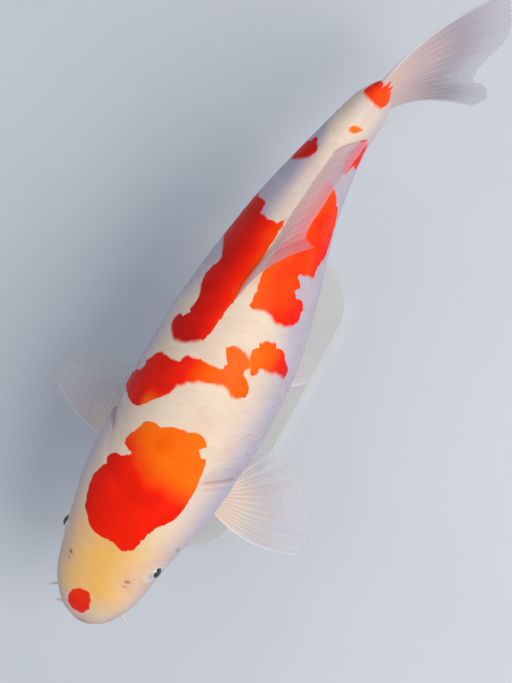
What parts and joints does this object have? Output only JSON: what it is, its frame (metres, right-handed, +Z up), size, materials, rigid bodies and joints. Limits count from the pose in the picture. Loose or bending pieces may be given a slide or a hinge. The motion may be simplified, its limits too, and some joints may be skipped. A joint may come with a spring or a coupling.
{
  "type": "koi carp display model",
  "caption": "Life-size koi carp, white with red markings, swimming with its tail curved to its left and held by short rods on a flat base.",
  "frame": {"origin": "middle of the underside of the stand's base, which rests on the floor", "axes": "+X towards the tail, -X towards the head, +Z up; the fish's left side faces -Y"},
  "size_m": [0.5689, 0.2557, 0.2275],
  "materials": {
    "skin": "wet-looking cream white skin and scales with red markings",
    "feeler": "soft pale barbels",
    "eye": "clear gloss over a dark pupil and a silvery iris",
    "fin": "thin rayed membrane, translucent towards the edge",
    "stand_board": "plain board painted light grey, satin",
    "stand_steel": "satin round bar"
  },
  "bodies": {
    "root": {"head": "skin", "gill_cover_left": "skin", "gill_cover_right": "skin", "lower_jaw": "skin", "trunk": "skin", "tail_stem": "skin", "barbel_front_left": "feeler", "barbel_front_right": "feeler", "barbel_rear_left": "feeler", "barbel_rear_right": "feeler", "eye_left": "eye", "eye_right": "eye", "dorsal_fin": "fin", "anal_fin": "fin", "caudal_fin": "fin", "pectoral_fin_left": "fin", "pectoral_fin_right": "fin", "pelvic_fin_left": "fin", "pelvic_fin_right": "fin", "stand_base": "stand_board", "stand_rod_front": "stand_steel", "stand_rod_rear": "stand_steel"}
  },
  "joints": []
}
